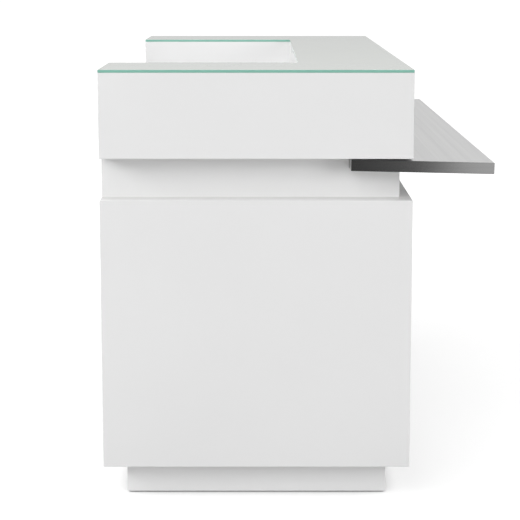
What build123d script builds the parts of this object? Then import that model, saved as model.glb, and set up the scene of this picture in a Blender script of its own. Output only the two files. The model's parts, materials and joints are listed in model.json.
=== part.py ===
from build123d import *
import math
import os

# A white lacquered manicure table with a raised glass bar round three sides of the operator's
# bay, a drawer pedestal, a cupboard pedestal and a brushed steel shelf on the client's side.
# Millimetres. Z is up, +X is the client's side, -X the operator's side, Y runs along the table,
# "near" is the -Y end and "far" the +Y end. The origin is below the middle, on the floor.

# Driving dimensions
LENGTH = 1400            # whole table along Y
BODY_DEPTH = 600         # casing from operator's side to client's side
SHELF_OVERHANG = 155     # steel shelf beyond the client's side of the casing
BOARD = 18               # lacquered board thickness
ARM = 216                # width of the glass bar, across each arm and along the front
PEDESTAL = 320           # width of each pedestal under the arms
FRONT_WALL = 142.5       # hollow client's-side wall beside the knee space
PLINTH_INSET = 43        # plinth set back from the casing, all round
NECK_END_INSET = 46      # neck set back from the two ends
NECK_FRONT_INSET = 22    # neck set back from the client's side
EDGE_R = 1.0             # rounding of the lacquered outer edges

FLOOR_GAP = 3            # the levelling feet hold the plinth off the floor
PLINTH_TOP = 67
LOWER_TOP = 596
NECK_TOP = 676
UPPER_TOP = 840
GLASS = 6
WORK_BOARD = 25          # the operator's work surface in the bay

SHELF_INNER_X = 104      # inner edge of the steel shelf
SHELF_TOP_Z = 675        # height of that edge's top
SHELF_THICK = 22
SHELF_TILT = 1.3         # degrees, down towards the client
SHELF_SHEET = 1.5

# Planes worked out from the driving dimensions
TOTAL_DEPTH = BODY_DEPTH + SHELF_OVERHANG
OPERATOR_X = -TOTAL_DEPTH / 2
CLIENT_X = OPERATOR_X + BODY_DEPTH
END_Y = LENGTH / 2
BAY_X = CLIENT_X - ARM
BAY_Y = END_Y - ARM
KNEE_X = CLIENT_X - FRONT_WALL
KNEE_Y = END_Y - PEDESTAL
NECK_X = CLIENT_X - NECK_FRONT_INSET
NECK_Y = END_Y - NECK_END_INSET
INSIDE_X = CLIENT_X - BOARD
INSIDE_Y = END_Y - BOARD
TIP_X = OPERATOR_X + BOARD
PEDESTAL_INSIDE_Y = KNEE_Y + BOARD
SIDES = (-1, 1)          # near, far

pieces = {}


def add(name, *solids):
    """Keep one node: a single solid, or a group of separate solids of the same kind."""
    pieces[name] = solids[0] if len(solids) == 1 else Compound(children=list(solids))


def block(x, y, z):
    """A rectangular solid between (low, high) limits on each axis; y may be given mirrored."""
    middle = [(limits[0] + limits[1]) / 2 for limits in (x, y, z)]
    sides = [abs(limits[1] - limits[0]) for limits in (x, y, z)]
    return Pos(*middle) * Box(*sides)


def soften(panel, planes, radius=EDGE_R):
    """Round the straight edges of a panel that lie on two of the casing's outer planes."""
    def lies_on(edge, axis, value):
        return all(abs(getattr(vertex, axis) - value) < 0.01 for vertex in edge.vertices())

    outer = [edge for edge in panel.edges() if sum(lies_on(edge, *plane) for plane in planes) >= 2]
    return fillet(outer, radius) if outer else panel


def rod(point, direction, radius, length):
    """A round bar that starts at a point and runs along a direction."""
    return Plane(origin=point, z_dir=direction) * Cylinder(
        radius, length, align=(Align.CENTER, Align.CENTER, Align.MIN))


SCREW_R = 2.5
SCREW_HEAD_R = 5
SCREW_HEAD = 4
SCREW_PLAY = 0.15        # radial play of a screw in its bore


def screw(point, direction, length, play=0.0):
    """A countersunk screw with its head flush at a point; play makes the bore that it needs."""
    shank = rod(point, direction, SCREW_R + play, length + play)
    cone = Cone(SCREW_HEAD_R + play, SCREW_R + play, SCREW_HEAD,
                align=(Align.CENTER, Align.CENTER, Align.MIN))
    return shank + Plane(origin=point, z_dir=direction) * cone


def bore(panel, places):
    """Cut the screws' bores, each given as (point, direction, length), into a panel."""
    for place in places:
        panel = panel - screw(*place, play=SCREW_PLAY)
    return panel


def spread(low, high, count):
    """Evenly spaced positions from low to high."""
    return [low + (high - low) * step / (count - 1) for step in range(count)]


# Shelf frame: origin on the inner top edge, X outward along the sloping plate, Z square to it
shelf_place = Pos(SHELF_INNER_X, 0, SHELF_TOP_Z) * Rot(0, SHELF_TILT, 0)
SHELF_WIDTH = (TOTAL_DEPTH / 2 - SHELF_INNER_X) / math.cos(math.radians(SHELF_TILT))
SHELF_CLEARANCE = 0.6
SLOT_BEHIND = 1.0        # slot beyond the shelf's inner edge
SLOT_ABOVE = 20          # slot above the shelf, open under the upper casing


def shelf_under(x):
    """Height of the sloping shelf's underside at a given X."""
    slope = math.radians(SHELF_TILT)
    return SHELF_TOP_Z - (x - SHELF_INNER_X) * math.tan(slope) - SHELF_THICK / math.cos(slope)


shelf_slot = shelf_place * block(
    (-SLOT_BEHIND, SHELF_WIDTH), (-LENGTH, LENGTH), (-SHELF_THICK - SHELF_CLEARANCE, SLOT_ABOVE))

# ---------------------------------------------------------------- levelling feet and plinth
PAD_R = 18
PAD_HEIGHT = 8
PAD_EDGE_R = 2
STUD_R = 4
FOOT_BLOCK = 50
FOOT_BLOCK_LOW = 27
STUD_TOP = 60
FOOT_INSET = 90          # foot's centre from the casing's operator's side and ends
FOOT_PAST_KNEE = 30      # and behind the face of the knee wall
foot_spots = [(x, side * y)
              for x in (OPERATOR_X + FOOT_INSET, KNEE_X + FOOT_PAST_KNEE)
              for y in (KNEE_Y + FOOT_INSET, END_Y - FOOT_INSET)
              for side in SIDES]
pads, studs, blocks = [], [], []
for x, y in foot_spots:
    pad = rod((x, y, 0), (0, 0, 1), PAD_R, PAD_HEIGHT)
    pads.append(fillet(pad.edges().group_by(Axis.Z)[-1], PAD_EDGE_R))
    studs.append(rod((x, y, PAD_HEIGHT), (0, 0, 1), STUD_R, STUD_TOP - PAD_HEIGHT))
    wood = block((x - FOOT_BLOCK / 2, x + FOOT_BLOCK / 2), (y - FOOT_BLOCK / 2, y + FOOT_BLOCK / 2),
                 (FOOT_BLOCK_LOW, PLINTH_TOP))
    blocks.append(wood - rod((x, y, 0), (0, 0, 1), STUD_R + SCREW_PLAY, STUD_TOP + 1))
add("levelling_pads", *pads)
add("levelling_studs", *studs)
add("levelling_blocks", *blocks)

plinth_z = (FLOOR_GAP, PLINTH_TOP)
plinth_low_x = OPERATOR_X + PLINTH_INSET
plinth_high_x = CLIENT_X - PLINTH_INSET
plinth_y = END_Y - PLINTH_INSET
plinth_knee_y = KNEE_Y + PLINTH_INSET
plinth_knee_x = KNEE_X + PLINTH_INSET
plinth_planes = [("X", plinth_low_x), ("X", plinth_high_x), ("Y", -plinth_y), ("Y", plinth_y),
                 ("Y", -plinth_knee_y), ("Y", plinth_knee_y), ("X", plinth_knee_x)]


def plinth_board(x, y):
    return soften(block(x, y, plinth_z), plinth_planes)


CASING_SCREW = 50        # length of the screws that join plinth, casings and neck
END_SCREWS = 3           # along each end
PLINTH_SCREW_MARGIN = 100
plinth_screws = [((x, side * (plinth_y - BOARD / 2), PLINTH_TOP + BOARD), (0, 0, -1), CASING_SCREW)
                 for x in spread(OPERATOR_X + PLINTH_SCREW_MARGIN, CLIENT_X - PLINTH_SCREW_MARGIN,
                                 END_SCREWS) for side in SIDES]
add("plinth_ends", *[
    bore(plinth_board((plinth_low_x, plinth_high_x), (side * plinth_y, side * (plinth_y - BOARD))),
         plinth_screws) for side in SIDES])
add("plinth_client_board", plinth_board(
    (plinth_high_x - BOARD, plinth_high_x), (-plinth_y + BOARD, plinth_y - BOARD)))
add("plinth_operator_boards", *[plinth_board(
    (plinth_low_x, plinth_low_x + BOARD), (side * plinth_knee_y, side * (plinth_y - BOARD)))
    for side in SIDES])
add("plinth_knee_boards", *[plinth_board(
    (plinth_low_x + BOARD, plinth_knee_x + BOARD),
    (side * plinth_knee_y, side * (plinth_knee_y + BOARD))) for side in SIDES],
    plinth_board((plinth_knee_x, plinth_knee_x + BOARD), (-plinth_knee_y, plinth_knee_y)))

# ---------------------------------------------------------------- lower casing
lower_z = (PLINTH_TOP, LOWER_TOP)
lower_inside_z = (PLINTH_TOP + BOARD, LOWER_TOP - BOARD)
lower_planes = [("X", OPERATOR_X), ("X", CLIENT_X), ("Y", -END_Y), ("Y", END_Y),
                ("Z", PLINTH_TOP), ("Z", LOWER_TOP), ("X", KNEE_X), ("Y", KNEE_Y), ("Y", -KNEE_Y)]

# Screws that come up through the top boards into the neck's panels
NECK_SCREW_MARGIN = 80
FRONT_SCREWS = 6         # along the neck's long front
neck_end_line = NECK_Y - BOARD / 2
neck_front_line = NECK_X - BOARD / 2
neck_low_x = spread(OPERATOR_X + 1.5 * NECK_SCREW_MARGIN, NECK_X - 0.75 * NECK_SCREW_MARGIN, END_SCREWS)
neck_low_y = spread(-NECK_Y + NECK_SCREW_MARGIN, NECK_Y - NECK_SCREW_MARGIN, FRONT_SCREWS)
neck_low_screws = [((x, side * neck_end_line, LOWER_TOP - BOARD), (0, 0, 1), CASING_SCREW)
                   for x in neck_low_x for side in SIDES]
neck_low_screws += [((neck_front_line, y, LOWER_TOP - BOARD), (0, 0, 1), CASING_SCREW)
                    for y in neck_low_y]

SHELF_PIN_R = 2.5
SHELF_PIN_DEPTH = 10
SHELF_PIN_REACH = 8
CUPBOARD_SHELF_Z = 320
SHELF_SETBACK = 60       # cupboard shelf behind the operator's edge, for fingers at the pull
SHELF_PIN_INSET = 40     # pins in from the cupboard shelf's front and back edges
SHELF_SIDE_GAP = 1
SHELF_BACK_GAP = 5
shelf_pin_x = (OPERATOR_X + SHELF_SETBACK + SHELF_PIN_INSET, KNEE_X - SHELF_PIN_INSET)
pin_height = CUPBOARD_SHELF_Z - SHELF_PIN_R
outer_pins = [((x, INSIDE_Y + SHELF_PIN_DEPTH, pin_height), (0, -1, 0)) for x in shelf_pin_x]
inner_pins = [((x, PEDESTAL_INSIDE_Y - SHELF_PIN_DEPTH, pin_height), (0, 1, 0))
              for x in shelf_pin_x]


def bore_pins(panel, pins):
    for point, direction in pins:
        panel = panel - rod(point, direction, SHELF_PIN_R + SCREW_PLAY, SHELF_PIN_DEPTH + 1)
    return panel


lower_end_near = soften(block((OPERATOR_X, CLIENT_X), (-END_Y, -INSIDE_Y), lower_z), lower_planes)
lower_end_far = soften(block((OPERATOR_X, CLIENT_X), (INSIDE_Y, END_Y), lower_z), lower_planes)
add("lower_end_near", lower_end_near)
add("lower_end_far", bore_pins(lower_end_far, outer_pins))
add("lower_front", soften(
    block((INSIDE_X, CLIENT_X), (-INSIDE_Y, INSIDE_Y), lower_z), lower_planes))
pedestal_side = (OPERATOR_X, INSIDE_X)
add("pedestal_side_near", soften(
    block(pedestal_side, (-PEDESTAL_INSIDE_Y, -KNEE_Y), lower_inside_z), lower_planes))
add("pedestal_side_far", bore_pins(soften(
    block(pedestal_side, (KNEE_Y, PEDESTAL_INSIDE_Y), lower_inside_z), lower_planes), inner_pins))
add("knee_wall", block((KNEE_X, KNEE_X + BOARD), (-KNEE_Y, KNEE_Y), lower_inside_z))
BACK = 8
add("cupboard_back", block((KNEE_X + BOARD - BACK, KNEE_X + BOARD),
                           (PEDESTAL_INSIDE_Y, INSIDE_Y), lower_inside_z))


def lower_boards(z, screws):
    """The two pedestal boards and the front wall's board at one level."""
    boards = [block((OPERATOR_X, INSIDE_X), (side * KNEE_Y, side * INSIDE_Y), z) for side in SIDES]
    boards.append(block((KNEE_X, INSIDE_X), (-KNEE_Y, KNEE_Y), z))
    return [bore(soften(board, lower_planes), screws) for board in boards]


# ---------------------------------------------------------------- cupboard door on pivot pins
DOOR_GAP = 3
SIDE_GAP = 2
FRONT_SETBACK = 5
PIN_R = 4
PIN_PLAY = 0.05
PIN_IN_DOOR = 10
PIN_IN_BOARD = 12
PIN_BORE_DEPTH = 0.5     # bore beyond each end of a pin
WASHER_R = 8
WASHER_PLAY = 0.2        # round the pin
WASHER_FREE = 0.1        # below the door
front_x = (OPERATOR_X + FRONT_SETBACK, OPERATOR_X + FRONT_SETBACK + BOARD)
pivot_x = sum(front_x) / 2
pivot_y = INSIDE_Y - SIDE_GAP - BOARD / 2
door_z = (lower_inside_z[0] + DOOR_GAP, lower_inside_z[1] - DOOR_GAP)
pivot_pins = [((pivot_x, pivot_y, lower_inside_z[1] + PIN_IN_BOARD), (0, 0, -1)),
              ((pivot_x, pivot_y, lower_inside_z[0] - PIN_IN_BOARD), (0, 0, 1))]
PIN_LENGTH = PIN_IN_BOARD + DOOR_GAP + PIN_IN_DOOR


def bore_pivots(solid):
    for point, direction in pivot_pins:
        solid = solid - rod(point, direction, PIN_R + PIN_PLAY, PIN_LENGTH + PIN_BORE_DEPTH)
    return solid


PULL_WIDTH = 120
PULL_DEPTH = 20
PULL_R = 8


def finger_notch(length, depth, thickness):
    """A rounded notch, length along Y and depth down from Z = 0, through a front."""
    notch = block((-thickness, thickness), (-length / 2, length / 2), (-depth, depth))
    return fillet(notch.edges().filter_by(Axis.X).group_by(Axis.Z)[0], PULL_R)


door = block(front_x, (PEDESTAL_INSIDE_Y + SIDE_GAP, INSIDE_Y - SIDE_GAP), door_z)
hinge_edges = [edge for edge in door.edges().filter_by(Axis.Z)
               if edge.center().Y > INSIDE_Y - SIDE_GAP - 1]
door = fillet(hinge_edges, BOARD / 2 - 0.01)
door_notch = Pos(pivot_x, PEDESTAL_INSIDE_Y + SIDE_GAP, sum(door_z) / 2) * Rot(90, 0, 0) \
    * finger_notch(PULL_WIDTH, PULL_DEPTH, BOARD)
add("cupboard_door", bore_pivots(door - door_notch))
add("door_pivot_pins", *[rod(point, direction, PIN_R, PIN_LENGTH)
                         for point, direction in pivot_pins])
washer_foot = (pivot_x, pivot_y, lower_inside_z[0])
washer = rod(washer_foot, (0, 0, 1), WASHER_R, DOOR_GAP - WASHER_FREE)
add("door_pivot_washer", washer - rod(washer_foot, (0, 0, 1), PIN_R + WASHER_PLAY, DOOR_GAP))

STRIKE = 1.5             # steel strike plate on the door's back
STRIKE_BELOW_EDGE = 1
CATCH_FROM_SIDE = 20     # magnet catch from the pedestal's side
CATCH_WIDTH = 40
CATCH_DEPTH = 19.7
CATCH_HEIGHT = 14
CATCH_GAP = 0.3          # magnet to strike plate, door closed
CATCH_R = 2
catch_low_y = PEDESTAL_INSIDE_Y + CATCH_FROM_SIDE
catch_y = (catch_low_y, catch_low_y + CATCH_WIDTH)
catch_z = (lower_inside_z[1] - CATCH_HEIGHT, lower_inside_z[1])
strike_x = (front_x[1], front_x[1] + STRIKE)
add("door_strike_plate", block(strike_x, catch_y, (catch_z[0], door_z[1] - STRIKE_BELOW_EDGE)))
catch_low_x = strike_x[1] + CATCH_GAP
catch = block((catch_low_x, catch_low_x + CATCH_DEPTH), catch_y, catch_z)
add("door_magnet_catch", fillet(catch.edges().filter_by(Axis.Z), CATCH_R))

top_boards = lower_boards((LOWER_TOP - BOARD, LOWER_TOP), neck_low_screws)
add("lower_top_boards", *[bore_pivots(board) for board in top_boards])
bottom_boards = lower_boards((PLINTH_TOP, PLINTH_TOP + BOARD), plinth_screws)
add("lower_bottom_boards", *[bore_pivots(board) for board in bottom_boards])

add("cupboard_shelf", block(
    (OPERATOR_X + SHELF_SETBACK, KNEE_X - SHELF_BACK_GAP),
    (PEDESTAL_INSIDE_Y + SHELF_SIDE_GAP, INSIDE_Y - SHELF_SIDE_GAP),
    (CUPBOARD_SHELF_Z, CUPBOARD_SHELF_Z + BOARD)))
add("cupboard_shelf_pins", *[
    rod(point, direction, SHELF_PIN_R, SHELF_PIN_DEPTH + SHELF_PIN_REACH)
    for point, direction in outer_pins + inner_pins])

# ---------------------------------------------------------------- drawers on telescopic runners
DRAWERS = ("top", "middle", "bottom")
RUNNER_SPACE = 13        # between the pedestal's side and the drawer box
RUNNER_LENGTH = 400
RUNNER_SETBACK = 4       # runner behind the back of the drawer's front
RUNNER_DROP = 15         # runner's middle below the middle of the drawer box
RUNNER_SHEET = 1.5
RUNNER_HEIGHT = 45
RUNNER_MID_HEIGHT = 40
BALL_RAIL_HEIGHT = 16    # web between the two rails of the middle member
BOX_SIDE = 12
BOX_BOTTOM = 6
BOX_BOTTOM_RAISE = 8     # bottom above the lower edge of the box's sides
BOX_HEIGHT = 110
BOX_RAISE = 14           # drawer box above the lower edge of its front
BOX_LENGTH = 410
opening_height = lower_inside_z[1] - lower_inside_z[0]
front_height = (opening_height - 4 * DOOR_GAP) / 3
drawer_y = (-INSIDE_Y + SIDE_GAP, -PEDESTAL_INSIDE_Y - SIDE_GAP)
box_y = (-INSIDE_Y + RUNNER_SPACE, -PEDESTAL_INSIDE_Y - RUNNER_SPACE)
pedestal_walls = ((-INSIDE_Y, 1), (-PEDESTAL_INSIDE_Y, -1))   # wall face and the way inward


def runner_profile(wall, inward, z, parts):
    """Join rectangles (offset from the wall, height limits) into one runner member."""
    start = front_x[1] + RUNNER_SETBACK
    x = (start, start + RUNNER_LENGTH)
    member = None
    for (near, far), (low, high) in parts:
        y = sorted((wall + inward * near, wall + inward * far))
        bar = block(x, y, (z + low, z + high))
        member = bar if member is None else member + bar
    return member


half = RUNNER_HEIGHT / 2
lip = half - RUNNER_SHEET
half_mid = RUNNER_MID_HEIGHT / 2
half_rail = BALL_RAIL_HEIGHT / 2
# Each rectangle: (distance from the pedestal's wall), (height about the runner's middle)
outer_web = (0, RUNNER_SHEET)
outer_lips = (RUNNER_SHEET, 6)
mid_outer_rail = (2, 5.5)
mid_web = (5.5, 7.5)
mid_inner_rail = (7.5, 11)
inner_lips = (7, RUNNER_SPACE - RUNNER_SHEET)
inner_web = (RUNNER_SPACE - RUNNER_SHEET, RUNNER_SPACE)
OUTER_MEMBER = ((outer_web, (-half, half)), (outer_lips, (lip, half)), (outer_lips, (-half, -lip)))
MID_MEMBER = ((mid_outer_rail, (-half_mid, half_mid)), (mid_web, (-half_rail, half_rail)),
              (mid_inner_rail, (-half_mid, half_mid)))
INNER_MEMBER = ((inner_web, (-half, half)), (inner_lips, (lip, half)), (inner_lips, (-half, -lip)))
cabinet_members = []
for order, name in enumerate(DRAWERS):
    high = lower_inside_z[1] - DOOR_GAP - order * (front_height + DOOR_GAP)
    low = high - front_height
    front = soften(block(front_x, drawer_y, (low, high)),
                   [("X", front_x[0]), ("Y", drawer_y[0]), ("Y", drawer_y[1]),
                    ("Z", low), ("Z", high)])
    front = front - Pos(sum(front_x) / 2, sum(drawer_y) / 2, high) * finger_notch(
        PULL_WIDTH, PULL_DEPTH, BOARD)
    add(f"drawer_{name}_front", front)

    box_x = (front_x[1], front_x[1] + BOX_LENGTH)
    box_z = (low + BOX_RAISE, low + BOX_RAISE + BOX_HEIGHT)
    inner_y = (box_y[0] + BOX_SIDE, box_y[1] - BOX_SIDE)
    bottom_low = box_z[0] + BOX_BOTTOM_RAISE
    add(f"drawer_{name}_box",
        block(box_x, (box_y[0], inner_y[0]), box_z),
        block(box_x, (inner_y[1], box_y[1]), box_z),
        block((box_x[1] - BOX_SIDE, box_x[1]), inner_y, box_z),
        block((box_x[0], box_x[1] - BOX_SIDE), inner_y, (bottom_low, bottom_low + BOX_BOTTOM)))

    runner_z = sum(box_z) / 2 - RUNNER_DROP
    add(f"drawer_{name}_runner_mids", *[
        runner_profile(wall, inward, runner_z, MID_MEMBER) for wall, inward in pedestal_walls])
    add(f"drawer_{name}_runner_inners", *[
        runner_profile(wall, inward, runner_z, INNER_MEMBER) for wall, inward in pedestal_walls])
    cabinet_members += [
        runner_profile(wall, inward, runner_z, OUTER_MEMBER) for wall, inward in pedestal_walls]
add("drawer_runner_outers", *cabinet_members)

# ---------------------------------------------------------------- recessed neck
neck_z = (LOWER_TOP, NECK_TOP)
neck_planes = [("X", OPERATOR_X), ("X", NECK_X), ("Y", -NECK_Y), ("Y", NECK_Y), ("X", KNEE_X),
               ("Y", -KNEE_Y), ("Y", KNEE_Y)]
neck_inside_y = NECK_Y - BOARD
neck_inside_x = NECK_X - BOARD
HIGH_SCREW_MARGINS = (70, 40)   # from the operator's side and from the shelf
high_screw_x = spread(OPERATOR_X + HIGH_SCREW_MARGINS[0], SHELF_INNER_X - HIGH_SCREW_MARGINS[1],
                      END_SCREWS)
neck_high_screws = [((x, side * neck_end_line, NECK_TOP + BOARD), (0, 0, -1), CASING_SCREW)
                    for x in high_screw_x for side in SIDES]


def neck_panel(x, y, z=neck_z):
    return soften(block(x, y, z), neck_planes)


neck_ends = [neck_panel((OPERATOR_X, NECK_X), (side * neck_inside_y, side * NECK_Y)) - shelf_slot
             for side in SIDES]
add("neck_ends", *[bore(panel, neck_low_screws + neck_high_screws) for panel in neck_ends])
BRACKETS = 4
BRACKET_SPAN = 960       # first bracket to last
BRACKET_WIDTH = 40
BRACKET_THICK = 5
BRACKET_RAISE = 4        # foot of the brackets above the lower casing
BRACKET_ARM_INSET = 8    # tip of the arms behind the shelf's inner edge
ARM_SCREW_INSET = 36     # screws into the shelf, from the same edge
ARM_SCREW = 14
BACK_SCREW_RAISE = 24    # screws into the neck, above the lower casing
BACK_SCREW = 18
bracket_y = spread(-BRACKET_SPAN / 2, BRACKET_SPAN / 2, BRACKETS)
bracket_back_screws = [
    ((neck_inside_x - BRACKET_THICK, y, LOWER_TOP + BACK_SCREW_RAISE), (1, 0, 0), BACK_SCREW)
    for y in bracket_y]
neck_front = neck_panel((neck_inside_x, NECK_X), (-neck_inside_y, neck_inside_y)) - shelf_slot
add("neck_front", bore(neck_front, neck_low_screws + bracket_back_screws))
add("neck_operator_panels", *[
    neck_panel((OPERATOR_X, TIP_X), (side * KNEE_Y, side * neck_inside_y)) for side in SIDES])
add("neck_knee_sides", *[
    neck_panel((TIP_X, neck_inside_x), (side * KNEE_Y, side * PEDESTAL_INSIDE_Y)) - shelf_slot
    for side in SIDES])
add("neck_knee_wall", neck_panel((KNEE_X, KNEE_X + BOARD), (-KNEE_Y, KNEE_Y)))

# ---------------------------------------------------------------- steel shelf
NOSE_R = 1.2             # rounding of the folded steel edges
skin_y = (-END_Y + SHELF_SHEET, END_Y - SHELF_SHEET)
core = block((SHELF_SHEET, SHELF_WIDTH - SHELF_SHEET), skin_y,
             (-SHELF_THICK + SHELF_SHEET, -SHELF_SHEET))
envelope = block((0, SHELF_WIDTH), skin_y, (-SHELF_THICK, 0))
nose = [edge for edge in envelope.edges().filter_by(Axis.Y) if edge.center().X > SHELF_WIDTH / 2]
skin = fillet(nose, NOSE_R) - core
caps = [block((0, SHELF_WIDTH), (side * (END_Y - SHELF_SHEET), side * END_Y), (-SHELF_THICK, 0))
        for side in SIDES]
caps = [fillet(cap.edges().filter_by(Axis.Y), NOSE_R) for cap in caps]
arm_screw_x = SHELF_INNER_X + ARM_SCREW_INSET
bracket_top_screws = [
    ((arm_screw_x, y, shelf_under(arm_screw_x) - BRACKET_THICK), (0, 0, 1), ARM_SCREW)
    for y in bracket_y]
add("shelf_skin", bore(shelf_place * skin, bracket_top_screws))
add("shelf_core", bore(shelf_place * core, bracket_top_screws))
add("shelf_end_caps", *[shelf_place * cap for cap in caps])
leg_back = neck_inside_x
leg_front = leg_back - BRACKET_THICK
leg_foot = LOWER_TOP + BRACKET_RAISE
arm_start = SHELF_INNER_X + BRACKET_ARM_INSET
bracket_outline = [(arm_start, shelf_under(arm_start)), (leg_back, shelf_under(leg_back)),
                   (leg_back, leg_foot), (leg_front, leg_foot),
                   (leg_front, shelf_under(leg_front) - BRACKET_THICK),
                   (arm_start, shelf_under(arm_start) - BRACKET_THICK)]
brackets = []
for y in bracket_y:
    profile = Plane(origin=(0, y + BRACKET_WIDTH / 2, 0), x_dir=(1, 0, 0), z_dir=(0, -1, 0)) \
        * make_face(Polyline(*bracket_outline, close=True))
    bracket = extrude(profile, amount=BRACKET_WIDTH)
    brackets.append(bore(bracket, bracket_back_screws + bracket_top_screws))
add("shelf_brackets", *brackets)
add("shelf_bracket_screws", *[screw(*place) for place in bracket_back_screws + bracket_top_screws])

# ---------------------------------------------------------------- upper casing round the bay
upper_z = (NECK_TOP, UPPER_TOP)
upper_planes = [("X", OPERATOR_X), ("X", CLIENT_X), ("Y", -END_Y), ("Y", END_Y), ("X", BAY_X),
                ("Y", -BAY_Y), ("Y", BAY_Y), ("Z", NECK_TOP), ("Z", UPPER_TOP)]
BAY_INSIDE_Y = BAY_Y + BOARD
BAY_INSIDE_X = BAY_X + BOARD
TOP_DROP = 0.8           # the boards under the glass lie a little below the casing's rim
RIBS = 3                 # upright ribs inside the front bar
RIB_SPAN = 600
WORK_EDGE_R = 2


def upper_panel(x, y, z=upper_z):
    return soften(block(x, y, z), upper_planes)


for side, name in zip(SIDES, ("near", "far")):
    add(f"upper_end_{name}", upper_panel((OPERATOR_X, CLIENT_X), (side * INSIDE_Y, side * END_Y)))
add("upper_front", upper_panel((INSIDE_X, CLIENT_X), (-INSIDE_Y, INSIDE_Y)))
add("arm_tips", *[upper_panel((OPERATOR_X, TIP_X), (side * BAY_Y, side * INSIDE_Y))
                  for side in SIDES])
add("bay_sides", *[upper_panel((TIP_X, BAY_INSIDE_X), (side * BAY_Y, side * BAY_INSIDE_Y))
                   for side in SIDES])
add("bay_wall", upper_panel((BAY_X, BAY_INSIDE_X), (-BAY_Y, BAY_Y)))


def upper_boards(z):
    """The boards inside the two arms and the bar at one level."""
    boards = [block((TIP_X, INSIDE_X), (side * BAY_INSIDE_Y, side * INSIDE_Y), z)
              for side in SIDES]
    boards.append(block((BAY_INSIDE_X, INSIDE_X), (-BAY_INSIDE_Y, BAY_INSIDE_Y), z))
    return boards


add("upper_bottom_boards", *[bore(board, neck_high_screws)
                             for board in upper_boards((NECK_TOP, NECK_TOP + BOARD))])
top_z = (UPPER_TOP - TOP_DROP - BOARD, UPPER_TOP - TOP_DROP)
add("upper_top_boards", *upper_boards(top_z))
add("bar_ribs", *[block((BAY_INSIDE_X, INSIDE_X), (y - BOARD / 2, y + BOARD / 2),
                        (NECK_TOP + BOARD, top_z[0]))
                  for y in spread(-RIB_SPAN / 2, RIB_SPAN / 2, RIBS)])
casing_screws = plinth_screws + neck_low_screws + neck_high_screws
add("casing_screws", *[screw(*place) for place in casing_screws])
work_z = (NECK_TOP, NECK_TOP + WORK_BOARD)
work_board = block((OPERATOR_X, BAY_X), (-BAY_Y, BAY_Y), work_z)
add("work_surface", soften(
    work_board, [("X", OPERATOR_X), ("Z", work_z[0]), ("Z", work_z[1])], WORK_EDGE_R))

# ---------------------------------------------------------------- glass top
glass_z = (UPPER_TOP, UPPER_TOP + GLASS)
GLASS_JOINT = 1.0        # between the two panes
GLASS_CORNER_R = 2
ARRIS = 0.5
PAD_SPOT_R = 6           # clear pads under the glass
PADS_IN_ROW = 4
PAD_MARGIN = 40
near_arm = block((OPERATOR_X, CLIENT_X), (-END_Y, -BAY_Y), glass_z)
bar = block((BAY_X, CLIENT_X), (-BAY_Y, BAY_Y), glass_z)
glass_main = near_arm + bar
glass_far = block((OPERATOR_X, CLIENT_X), (BAY_Y + GLASS_JOINT, END_Y), glass_z)


def polish(glass):
    """Round the plan corners a little and take the sharp arris off the top and bottom rims."""
    glass = fillet(glass.edges().filter_by(Axis.Z), GLASS_CORNER_R)
    rims = glass.edges().group_by(Axis.Z)
    return chamfer(rims[-1] + rims[0], ARRIS)


add("glass_top_main", polish(glass_main))
add("glass_top_far", polish(glass_far))
pad_spots = [(x, side * (END_Y - ARM / 2))
             for x in spread(TIP_X + PAD_MARGIN, INSIDE_X - PAD_MARGIN, PADS_IN_ROW)
             for side in SIDES]
pad_spots += [(CLIENT_X - ARM / 2, y)
              for y in spread(-BAY_Y + 2 * PAD_MARGIN, BAY_Y - 2 * PAD_MARGIN, PADS_IN_ROW)]
add("glass_pads", *[rod((x, y, top_z[1]), (0, 0, 1), PAD_SPOT_R, TOP_DROP) for x, y in pad_spots])

# ---------------------------------------------------------------- one STEP file for each node
os.makedirs("parts", exist_ok=True)
for name, shape in pieces.items():
    shape.label = name
    export_step(shape, f"parts/{name}.step")
print(len(pieces), "nodes written")
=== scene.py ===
import json
import math

import bpy
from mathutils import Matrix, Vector

# Metres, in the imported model's own frame: +Z up, +X the client's side, -Y the end that faces
# the camera. The CAD nodes keep their shapes; this script gives them their materials and sets
# up the studio: a white sweep, four soft panels, a room for reflections, and the camera.

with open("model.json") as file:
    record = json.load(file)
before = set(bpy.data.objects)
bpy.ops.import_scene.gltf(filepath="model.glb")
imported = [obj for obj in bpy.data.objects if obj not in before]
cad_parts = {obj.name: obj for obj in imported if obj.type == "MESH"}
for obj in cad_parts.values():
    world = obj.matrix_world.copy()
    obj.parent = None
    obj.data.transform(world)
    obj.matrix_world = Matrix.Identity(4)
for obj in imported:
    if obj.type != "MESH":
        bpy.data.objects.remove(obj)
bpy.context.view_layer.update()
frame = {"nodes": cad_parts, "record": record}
nodes = frame["nodes"]


# ------------------------------------------------------------------ node-tree helpers
def new_material(name):
    """A material with a Principled shader; returns (material, node tree, shader)."""
    material = bpy.data.materials.new(name)
    material.use_nodes = True
    tree = material.node_tree
    return material, tree, tree.nodes["Principled BSDF"]


def add(tree, kind, **values):
    """A shader node; keys that name an input set its value, the rest are attributes."""
    node = tree.nodes.new(kind)
    for key, value in values.items():
        label = key.replace("_", " ").title()
        if label in node.inputs:
            node.inputs[label].default_value = value
        else:
            setattr(node, key, value)
    return node


def object_coordinates(tree, scale=(1, 1, 1)):
    """Object coordinates, scaled along each axis, so that a pattern rides with its piece."""
    source = add(tree, "ShaderNodeTexCoord")
    mapping = add(tree, "ShaderNodeMapping", scale=scale)
    tree.links.new(source.outputs["Object"], mapping.inputs["Vector"])
    return mapping.outputs["Vector"]


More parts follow.
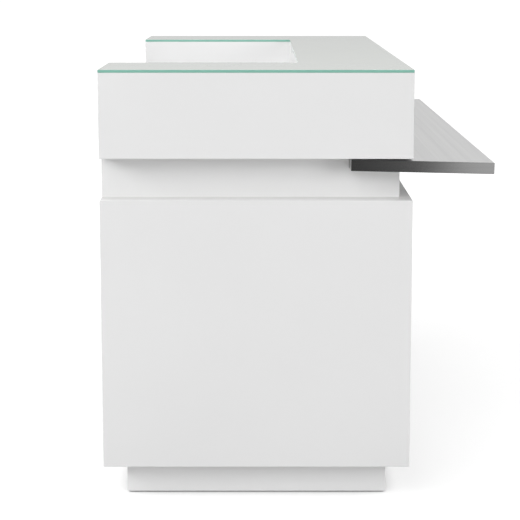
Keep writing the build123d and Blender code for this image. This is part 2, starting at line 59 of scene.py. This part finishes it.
def noise(tree, scale, detail=2.0, roughness=0.5, stretch=(1, 1, 1)):
    """The value of a noise texture in object space; scale is in features per metre."""
    texture = add(tree, "ShaderNodeTexNoise", scale=scale, detail=detail, roughness=roughness)
    tree.links.new(object_coordinates(tree, stretch), texture.inputs["Vector"])
    return texture.outputs["Fac"]


def between(tree, value, low, high, from_low=0.3, from_high=0.7):
    """Map a value from one range, by default that of a noise texture, onto another."""
    node = add(tree, "ShaderNodeMapRange")
    for name, limit in zip(("From Min", "From Max", "To Min", "To Max"),
                           (from_low, from_high, low, high)):
        node.inputs[name].default_value = limit
    tree.links.new(value, node.inputs["Value"])
    return node.outputs["Result"]


def maths(tree, operation, first, second=None):
    """A Math node; each operand is a socket or a number."""
    node = add(tree, "ShaderNodeMath", operation=operation)
    for slot, operand in enumerate((first, second)):
        if isinstance(operand, bpy.types.NodeSocket):
            tree.links.new(operand, node.inputs[slot])
        elif operand is not None:
            node.inputs[slot].default_value = operand
    return node.outputs[0]


def mix(tree, factor, first, second):
    """Mix two colours, each an RGB triple or a socket, by a factor socket."""
    node = add(tree, "ShaderNodeMix", data_type="RGBA")
    tree.links.new(factor, node.inputs["Factor"])
    for name, colour in (("A", first), ("B", second)):
        socket = [item for item in node.inputs if item.name == name and item.type == "RGBA"][0]
        if isinstance(colour, bpy.types.NodeSocket):
            tree.links.new(colour, socket)
        else:
            socket.default_value = (*colour, 1)
    return [item for item in node.outputs if item.type == "RGBA"][0]


def bump(tree, shader, height, distance, strength=1.0):
    """Feed a height socket to the shader's normal; distance is in metres."""
    node = add(tree, "ShaderNodeBump", strength=strength, distance=distance)
    tree.links.new(height, node.inputs["Height"])
    tree.links.new(node.outputs["Normal"], shader.inputs["Normal"])


def shade(colour, factor):
    """A colour made lighter or darker by a factor."""
    return tuple(channel * factor for channel in colour)


# ------------------------------------------------------------------ materials
LACQUER_UNEVEN = 0.01    # how far the lacquer's roughness drifts either way
COAT_WEIGHT = 0.25       # the clear layer over it
COAT_ROUGHNESS = 0.12
ORANGE_PEEL = 0.000004   # depth of the sprayed surface, in metres


def lacquer(name, colour, gloss=0.32):
    """Sprayed lacquer: faint orange peel, slow tone drift and slightly uneven gloss."""
    material, tree, shader = new_material(name)
    drift = between(tree, noise(tree, 2.5, detail=3), 0, 1)
    tree.links.new(mix(tree, drift, shade(colour, 0.985), shade(colour, 1.01)),
                   shader.inputs["Base Color"])
    polish = between(tree, noise(tree, 40, detail=4), gloss - LACQUER_UNEVEN,
                     gloss + LACQUER_UNEVEN)
    tree.links.new(polish, shader.inputs["Roughness"])
    shader.inputs["Coat Weight"].default_value = COAT_WEIGHT
    shader.inputs["Coat Roughness"].default_value = COAT_ROUGHNESS
    bump(tree, shader, noise(tree, 260, detail=1), ORANGE_PEEL)
    return material


def faced_board(name, colour):
    """Matt melamine facing with its fine pearl texture."""
    material, tree, shader = new_material(name)
    fleck = between(tree, noise(tree, 900, detail=2), 0, 1)
    tree.links.new(mix(tree, fleck, shade(colour, 0.97), shade(colour, 1.0)),
                   shader.inputs["Base Color"])
    tree.links.new(between(tree, noise(tree, 500), 0.5, 0.62), shader.inputs["Roughness"])
    bump(tree, shader, noise(tree, 1400, detail=2), 0.00006)
    return material


def raw_board(name):
    """Raw fibreboard: brown, with short fibres and a dusty sheen."""
    material, tree, shader = new_material(name)
    fibres = noise(tree, 160, detail=6, roughness=0.7, stretch=(1, 0.25, 2))
    tree.links.new(mix(tree, between(tree, fibres, 0, 1), (0.30, 0.19, 0.10), (0.46, 0.32, 0.19)),
                   shader.inputs["Base Color"])
    shader.inputs["Roughness"].default_value = 0.85
    bump(tree, shader, fibres, 0.0002)
    return material


def brushed_steel(name, along, gloss=0.29, spread=0.12, tone=1.0, relief=0.00003):
    """Brushed stainless steel, grained along one axis of the piece ("x" or "y").

    The roughness runs from gloss to gloss + spread; tone darkens the steel's colour as painted
    shade;
    relief is the depth of the grain in metres.
    """
    material, tree, shader = new_material(name)
    fine, long_way = 1.0, 0.006
    stretch = {"x": (long_way, fine, fine), "y": (fine, long_way, fine)}[along]
    grain = noise(tree, 1500, detail=3, roughness=0.6, stretch=stretch)
    bands = noise(tree, 120, detail=4, roughness=0.6, stretch=stretch)
    streak = between(tree, bands, 0, 1)
    # A tone below 1 darkens the steel's whole colour range: painted shade
    dull, bright = shade((0.71, 0.71, 0.71), tone), shade((0.78, 0.78, 0.775), tone)
    tree.links.new(mix(tree, streak, dull, bright), shader.inputs["Base Color"])
    shader.inputs["Metallic"].default_value = 1.0
    tree.links.new(between(tree, grain, gloss, gloss + spread), shader.inputs["Roughness"])
    bump(tree, shader, grain, relief)
    return material


def zinc_steel(name):
    """Bright zinc plating with its faint spangle."""
    material, tree, shader = new_material(name)
    cells = add(tree, "ShaderNodeTexVoronoi", scale=260)
    tree.links.new(object_coordinates(tree), cells.inputs["Vector"])
    tone = between(tree, cells.outputs["Distance"], 0, 1, 0, 0.6)
    tree.links.new(mix(tree, tone, (0.50, 0.51, 0.52), (0.66, 0.67, 0.68)),
                   shader.inputs["Base Color"])
    shader.inputs["Metallic"].default_value = 1.0
    tree.links.new(between(tree, noise(tree, 90), 0.28, 0.42), shader.inputs["Roughness"])
    bump(tree, shader, noise(tree, 700), 0.00003)
    return material


def moulded_plastic(name, colour):
    """Spark-textured nylon."""
    material, tree, shader = new_material(name)
    grain = noise(tree, 1800, detail=2)
    tree.links.new(mix(tree, between(tree, grain, 0, 1), shade(colour, 0.9), shade(colour, 1.1)),
                   shader.inputs["Base Color"])
    tree.links.new(between(tree, noise(tree, 300), 0.42, 0.55), shader.inputs["Roughness"])
    bump(tree, shader, grain, 0.00008)
    return material


def clear_silicone(name):
    """Milky clear silicone, for the pads under the glass."""
    material, tree, shader = new_material(name)
    cloud = between(tree, noise(tree, 400), 0, 1)
    tree.links.new(mix(tree, cloud, (0.80, 0.82, 0.82), (0.88, 0.90, 0.90)),
                   shader.inputs["Base Color"])
    shader.inputs["Roughness"].default_value = 0.3
    shader.inputs["Transmission Weight"].default_value = 0.6
    return material


def table_glass(name):
    """Float glass on a white ground: pale from above, mint green where it shows its edge."""
    material, tree, shader = new_material(name)
    source = add(tree, "ShaderNodeTexCoord")
    parts = add(tree, "ShaderNodeSeparateXYZ")
    tree.links.new(source.outputs["Normal"], parts.inputs["Vector"])
    upright = maths(tree, "ABSOLUTE", parts.outputs["Z"])
    flat = between(tree, upright, 0, 1, 0.3, 0.95)
    cloud = between(tree, noise(tree, 5, detail=3), 0, 1)
    face = mix(tree, cloud, (0.715, 0.755, 0.705), (0.74, 0.775, 0.73))
    veins = between(tree, noise(tree, 60, detail=3, stretch=(1, 1, 30)), 0, 1)
    edge = mix(tree, veins, (0.215, 0.475, 0.39), (0.265, 0.535, 0.45))
    tree.links.new(mix(tree, flat, edge, face), shader.inputs["Base Color"])
    tree.links.new(between(tree, noise(tree, 25, detail=4), 0.03, 0.07), shader.inputs["Roughness"])
    shader.inputs["IOR"].default_value = 1.52
    bump(tree, shader, noise(tree, 3, detail=1), 0.0001, strength=0.4)
    return material


finishes = {
    "white_lacquer": lacquer("white_lacquer", (0.84, 0.84, 0.84)),
    # The plinth's lacquer is lighter than the casing's: painted light, making up for the shade
    # under the overhanging casing
    "plinth_lacquer": lacquer("plinth_lacquer", (0.95, 0.95, 0.95)),
    "white_board": faced_board("white_board", (0.76, 0.76, 0.75)),
    "raw_board": raw_board("raw_board"),
    "brushed_steel": brushed_steel("brushed_steel_long", "y"),
    "zinc_steel": zinc_steel("zinc_steel"),
    "glass": table_glass("table_glass"),
    "clear_pad": clear_silicone("clear_silicone"),
    "black_plastic": moulded_plastic("black_nylon", (0.03, 0.03, 0.03)),
    "white_plastic": moulded_plastic("white_nylon", (0.72, 0.72, 0.70)),
}
for part in frame["record"]["subparts"]:
    piece = nodes[part["node"]]
    piece.data.materials.clear()
    piece.data.materials.append(finishes[part["material_slot"]])
# The end caps are grained across the shelf and smoother than its skin; their colour is darkened as
# painted shade. They mirror the dark stretch of the room, which together with the painted shade
# gives them their dark end face
nodes["shelf_end_caps"].data.materials[0] = brushed_steel(
    "brushed_steel_across_painted_shade", "x", gloss=0.05, spread=0.05, tone=0.64, relief=0.000008)

# ------------------------------------------------------------------ studio
# A white sweep that stops short of the camera; it glows a little, as an overlit floor does. An
# occlusion mask fades the glow in the narrow gap under the plinth and close round it, which paints
# a contact shadow there
SWEEP_HALF_WIDTH = 9.0
SWEEP_NEAR = -3.0
SWEEP_FAR = 16.0
GLOW_NEAR = 0.62         # glow that the camera sees round the table, which lets shadows show
GLOW_AWAY = 0.85         # and away from it, where the floor runs into the white background
FLOOR_GLOW = 0.07        # glow that lights the table
GAP_REACH = 0.15         # how far an obstacle above the floor counts as covering it, for the painted shadow
GLOW_REACH = (0.9, 2.2)  # metres from the table's middle over which the glow changes
CLOSED, OPEN = 0.08, 0.36    # shares of open sky at which the floor glows not at all and fully: a painted contact shadow
floor_mesh = bpy.data.meshes.new("studio_floor")
corners = [(side * SWEEP_HALF_WIDTH, y, 0)
           for side, y in ((-1, SWEEP_NEAR), (1, SWEEP_NEAR), (1, SWEEP_FAR), (-1, SWEEP_FAR))]
floor_mesh.from_pydata(corners, [], [(0, 1, 2, 3)])
floor = bpy.data.objects.new("studio_floor", floor_mesh)
bpy.context.scene.collection.objects.link(floor)
floor_paint, floor_tree, floor_shader = new_material("studio_floor")
floor_tone = between(floor_tree, noise(floor_tree, 0.6), 0, 1)
floor_tree.links.new(mix(floor_tree, floor_tone, (0.50, 0.50, 0.50), (0.51, 0.51, 0.51)),
                     floor_shader.inputs["Base Color"])
floor_shader.inputs["Roughness"].default_value = 0.8
floor_shader.inputs["Emission Color"].default_value = (1, 1, 1, 1)
floor_path = add(floor_tree, "ShaderNodeLightPath")
from_table = add(floor_tree, "ShaderNodeVectorMath", operation="LENGTH")
floor_tree.links.new(object_coordinates(floor_tree), from_table.inputs[0])
seen_glow = between(floor_tree, from_table.outputs["Value"], GLOW_NEAR, GLOW_AWAY,
                    *GLOW_REACH)
glow = maths(floor_tree, "MAXIMUM", FLOOR_GLOW,
             maths(floor_tree, "MULTIPLY", seen_glow, floor_path.outputs["Is Camera Ray"]))
# Painted shadow: the floor's glow is cut where the table covers it, under and round the plinth
cover = add(floor_tree, "ShaderNodeAmbientOcclusion", samples=16, distance=GAP_REACH)
glow_left_by_painted_shadow = between(floor_tree, cover.outputs["AO"], 0, 1, CLOSED, OPEN)
floor_tree.links.new(maths(floor_tree, "MULTIPLY", glow, glow_left_by_painted_shadow),
                     floor_shader.inputs["Emission Strength"])
floor_mesh.materials.append(floor_paint)


def area_light(name, place, target, size, power, mirrored=False):
    """A soft square panel aimed at a point; the camera never sees it, reflections only if told."""
    data = bpy.data.lights.new(name, "AREA")
    data.shape = "SQUARE"
    data.size = size
    data.energy = power
    light = bpy.data.objects.new(name, data)
    light.location = place
    direction = Vector(target) - Vector(place)
    light.rotation_euler = direction.to_track_quat("-Z", "Y").to_euler()
    light.visible_camera = False
    light.visible_glossy = mirrored
    bpy.context.scene.collection.objects.link(light)


middle = (0, 0, 0.5)
area_light("front_panel", (-2.0, -4.8, 3.8), middle, 3.6, 113, mirrored=True)
area_light("left_panel", (-4.0, -2.5, 2.8), middle, 1.8, 88)
area_light("right_panel", (3.6, -3.4, 1.4), middle, 1.8, 54)
area_light("top_panel", (0.0, -0.2, 4.0), middle, 3.0, 44)

# The room: white behind the table for the camera, soft light round it, and a dark stretch below
# the horizon behind the camera, which the steel end of the shelf mirrors
ROOM_FRONT = 0.18
ROOM_BACK = 0.84
BACK_HORIZON = 0.71      # the back of the room is darker near the floor, as the glass shows
RIGHT_CARD = 0.53        # white card to the right of the camera
DARK = 0.36              # what is left of the light in the dark stretch
SEEN_WHITE = 1.05        # the camera itself sees plain white behind the sweep
# Bands over which the room changes, along a direction's components: up and north by
# themselves, and aside as the sideways share of the way towards the camera
BEHIND_CAMERA = (-0.3, -0.1)
CARD_TOP = (0.10, 0.35)
DARK_TOP = (-0.10, -0.06)
DARK_LEFT = (-0.6, -0.4)
DARK_RIGHT = (0.05, 0.13)
CARD_LEFT = (0.105, 0.14)
HORIZON = (0.06, 0.25)
FACING = (-0.4, 0.6)
world = bpy.data.worlds.new("studio")
bpy.context.scene.world = world
world.use_nodes = True
sky = world.node_tree

direction = add(sky, "ShaderNodeTexCoord")
axes = add(sky, "ShaderNodeSeparateXYZ")
sky.links.new(direction.outputs["Generated"], axes.inputs["Vector"])
east, north, up = (axes.outputs[name] for name in "XYZ")
toward_camera = maths(sky, "MAXIMUM", maths(sky, "MULTIPLY", north, -1), 0.02)
aside = maths(sky, "DIVIDE", east, toward_camera)
behind_camera = between(sky, north, 1, 0, *BEHIND_CAMERA)
low = between(sky, up, 1, 0, *CARD_TOP)
below_horizon = between(sky, up, 1, 0, *DARK_TOP)
near_axis = maths(sky, "MULTIPLY", between(sky, aside, 0, 1, *DARK_LEFT),
                  between(sky, aside, 1, 0, *DARK_RIGHT))
dark = maths(sky, "MULTIPLY", near_axis, maths(sky, "MULTIPLY", below_horizon, behind_camera))
right_of_axis = between(sky, aside, 0, 1, *CARD_LEFT)
card = maths(sky, "MULTIPLY", maths(sky, "MULTIPLY", right_of_axis, behind_camera), low)
back = maths(sky, "MULTIPLY", between(sky, up, BACK_HORIZON, 1, *HORIZON), ROOM_BACK)
facing = between(sky, north, 0, 1, *FACING)
level = maths(sky, "ADD", maths(sky, "MULTIPLY", back, facing),
              maths(sky, "MULTIPLY", maths(sky, "SUBTRACT", 1.0, facing), ROOM_FRONT))
level = maths(sky, "ADD", level, maths(sky, "MULTIPLY", card, RIGHT_CARD))
kept = maths(sky, "SUBTRACT", 1.0, maths(sky, "MULTIPLY", dark, 1 - DARK))
room = maths(sky, "MULTIPLY", level, kept)
path = add(sky, "ShaderNodeLightPath")
white = maths(sky, "MULTIPLY", path.outputs["Is Camera Ray"], SEEN_WHITE)
seen = maths(sky, "MAXIMUM", room, white)
sky.links.new(seen, sky.nodes["Background"].inputs["Color"])
bpy.context.scene.view_settings.view_transform = "Standard"

# ------------------------------------------------------------------ camera
# A long lens, a little above the glass, looking along the table from its near end
PITCH_DOWN = math.radians(8.30)
EYE = (-0.0636, -3.5665, 1.0400)     # metres; corners lie about 3 pixels off
LENS = 105.0                         # mm, on a sensor SENSOR wide
SENSOR = 36.0
SHIFT = (-0.0065, -0.14)             # keeps the uprights nearly parallel, as the photo's are
FAR_CLIP = 200
camera_data = bpy.data.cameras.new("camera")
camera_data.sensor_width = SENSOR
camera_data.lens = LENS
camera_data.shift_x, camera_data.shift_y = SHIFT
camera_data.clip_end = FAR_CLIP
camera = bpy.data.objects.new("camera", camera_data)
camera.location = EYE
camera.rotation_euler = (math.radians(90) - PITCH_DOWN, 0, 0)
bpy.context.scene.collection.objects.link(camera)
bpy.context.scene.camera = camera
